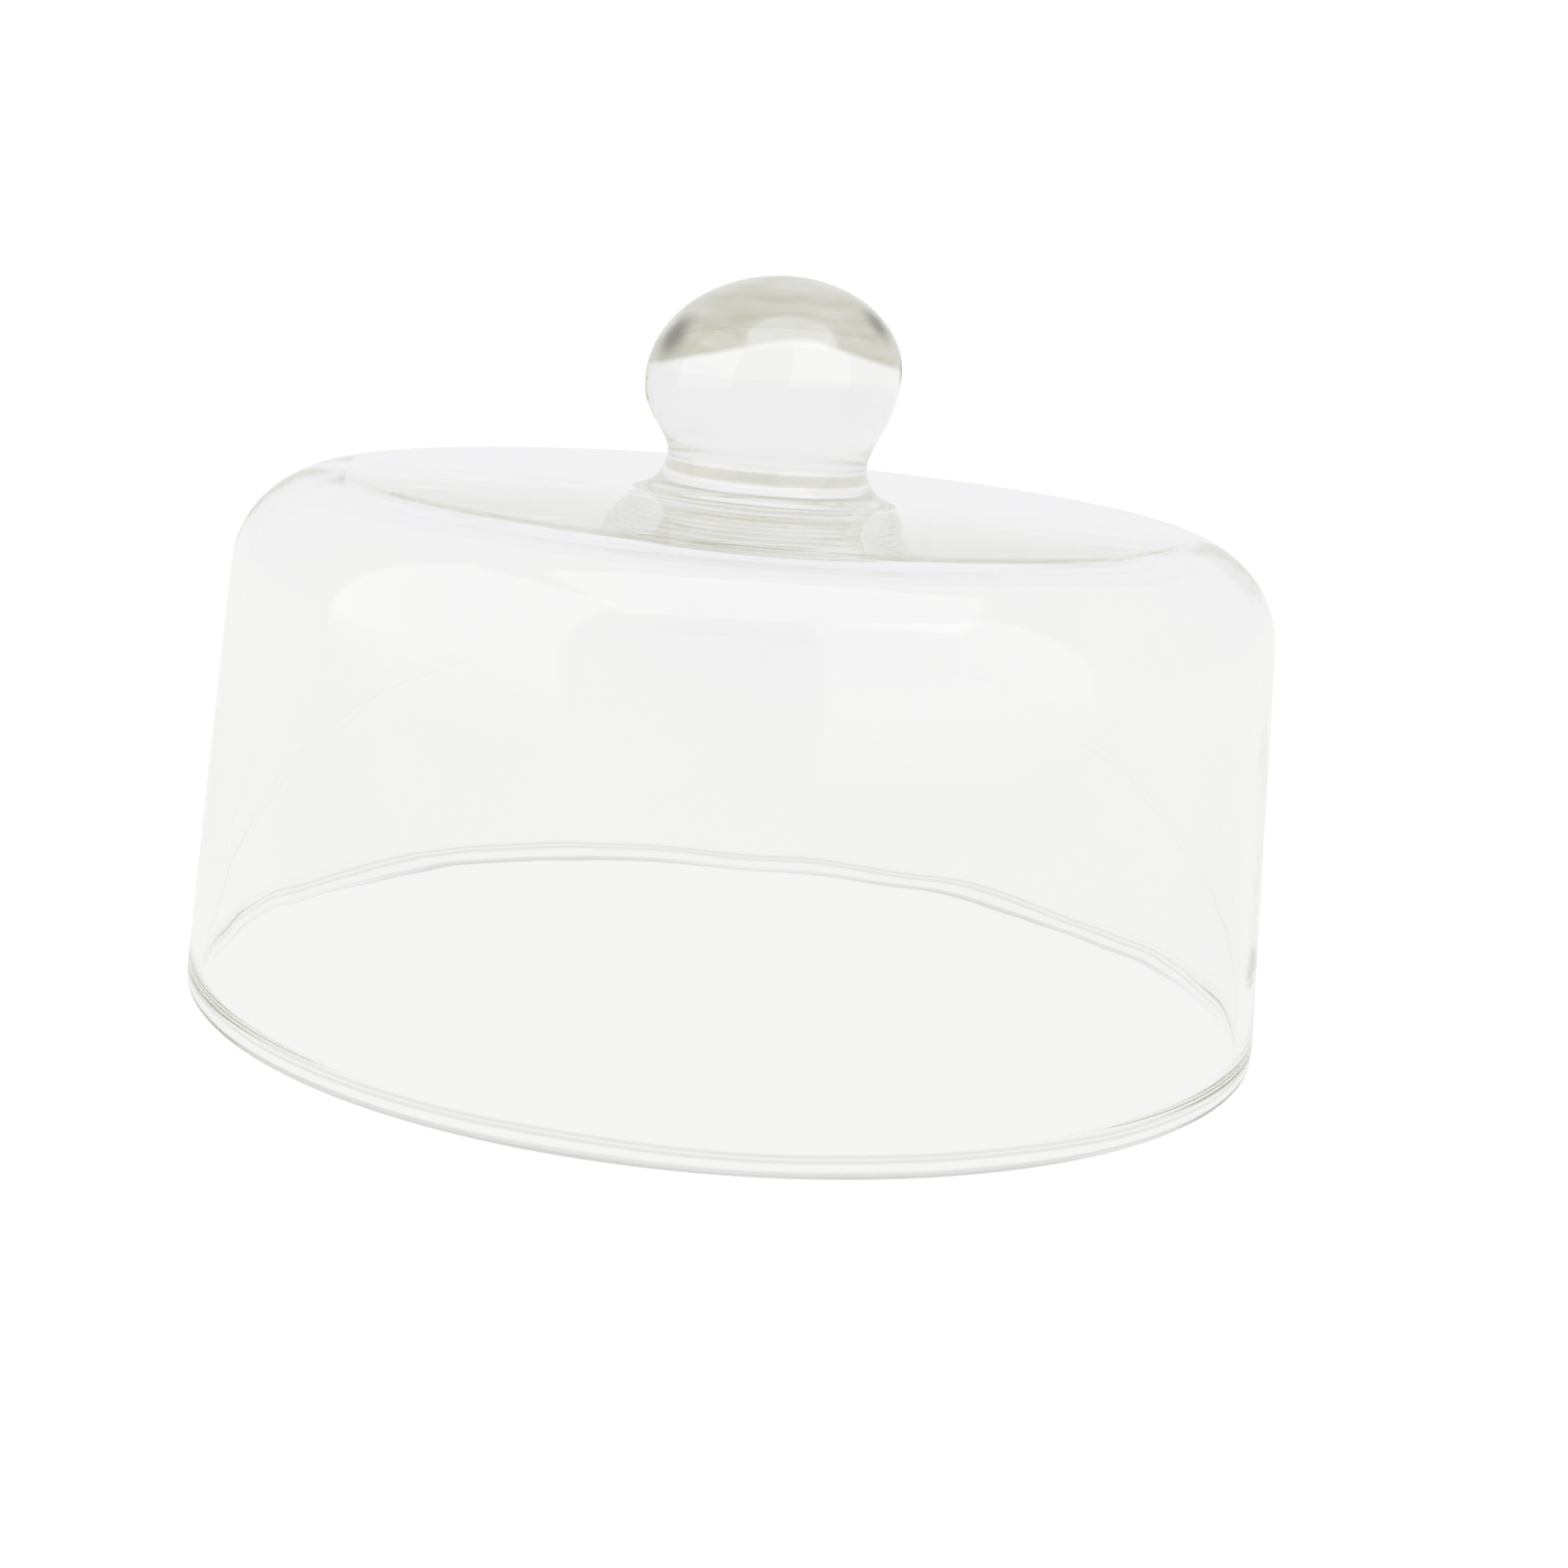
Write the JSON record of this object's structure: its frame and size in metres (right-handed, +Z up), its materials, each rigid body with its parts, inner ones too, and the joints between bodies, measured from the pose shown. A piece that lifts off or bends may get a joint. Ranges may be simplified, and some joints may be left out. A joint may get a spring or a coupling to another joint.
{
  "type": "glass bell jar dome",
  "caption": "Low clear glass bell jar dome with a flat crown, rounded shoulder, open polished rim and a solid ball knob fused on top.",
  "frame": {"origin": "centre of the circle that the rim stands on, in the plane of the rim", "axes": "+Z up along the dome's axis through the knob; X and Y lie in the rim's plane, and the form is round, so neither is special"},
  "size_m": [0.238, 0.238, 0.16],
  "materials": {
    "dome_glass": "clear, fire-polished, slightly uneven from blowing",
    "knob_glass": "clear, solid, hand-shaped"
  },
  "bodies": {
    "root": {"dome_shell": "dome_glass", "knob": "knob_glass"}
  },
  "joints": []
}
